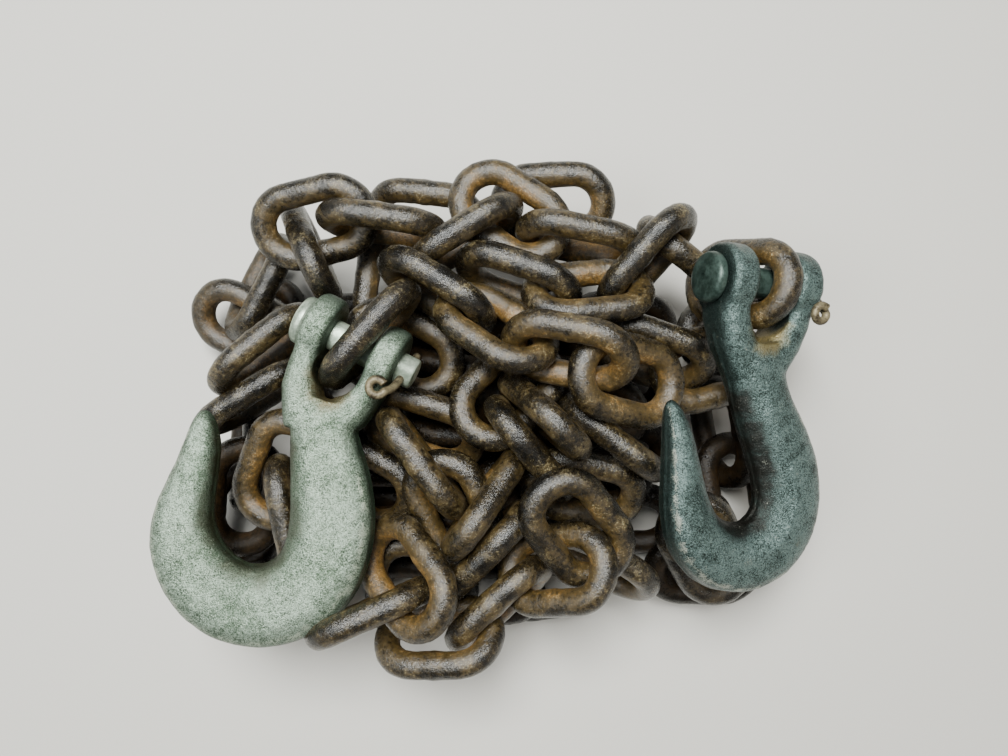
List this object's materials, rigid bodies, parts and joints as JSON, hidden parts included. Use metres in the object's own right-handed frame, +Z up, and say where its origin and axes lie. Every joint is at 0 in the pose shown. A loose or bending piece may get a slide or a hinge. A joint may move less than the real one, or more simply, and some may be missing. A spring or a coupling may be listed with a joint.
{
  "type": "heap of steel chain",
  "caption": "Heap of loose welded steel chain lying in piled loops, with a clevis slip hook pinned to each end and lying flat on top.",
  "frame": {"origin": "on the floor under the middle of the heap, on the flat bottom of the hidden core", "axes": "+X along the heap's long side, from the left hook to the right hook; +Y from the hooks' bowls towards their clevis ears; +Z up"},
  "size_m": [0.262, 0.1977, 0.0953],
  "materials": {
    "chain_steel": "bare dark steel with a thin brown rust in the inner curves and light grit",
    "zinc_plate": "dull zinc-plated forging, pale blue-green, speckled and scuffed",
    "pin_steel": "zinc-plated turned pin, dull, worn bright at its ends",
    "cotter_steel": "browned spring wire",
    "shadow_core": "dark steel in shadow, hidden under the chain"
  },
  "bodies": {
    "root": {"cotter_left": "cotter_steel", "cotter_right": "cotter_steel", "hidden_chain_core": "shadow_core", "hook_left": "zinc_plate", "hook_right": "zinc_plate", "link_a1": "chain_steel", "link_a11": "chain_steel", "link_a12": "chain_steel", "link_a13": "chain_steel", "link_a15": "chain_steel", "link_a2": "chain_steel", "link_a3": "chain_steel", "link_a5": "chain_steel", "link_a7": "chain_steel", "link_a8": "chain_steel", "link_a9": "chain_steel", "link_b1": "chain_steel", "link_b2": "chain_steel", "link_b3": "chain_steel", "link_b4": "chain_steel", "link_b5": "chain_steel", "link_c1": "chain_steel", "link_c3": "chain_steel", "link_d1": "chain_steel", "link_d2": "chain_steel", "link_d3": "chain_steel", "link_e1": "chain_steel", "link_e2": "chain_steel", "link_e3": "chain_steel", "link_e4": "chain_steel", "link_f1": "chain_steel", "link_g2": "chain_steel", "link_g3": "chain_steel", "link_g4": "chain_steel", "link_g5": "chain_steel", "link_g6": "chain_steel", "link_h1": "chain_steel", "link_h2": "chain_steel", "link_h3": "chain_steel", "link_j1": "chain_steel", "link_j2": "chain_steel", "link_j4": "chain_steel", "link_j5": "chain_steel", "link_k3": "chain_steel", "link_l1": "chain_steel", "link_m1": "chain_steel", "link_m2": "chain_steel", "link_m3": "chain_steel", "link_m4": "chain_steel", "link_n2": "chain_steel", "link_o1": "chain_steel", "link_o2": "chain_steel", "link_o5": "chain_steel", "link_o7": "chain_steel", "pin_left": "pin_steel", "pin_right": "pin_steel"}
  },
  "joints": []
}
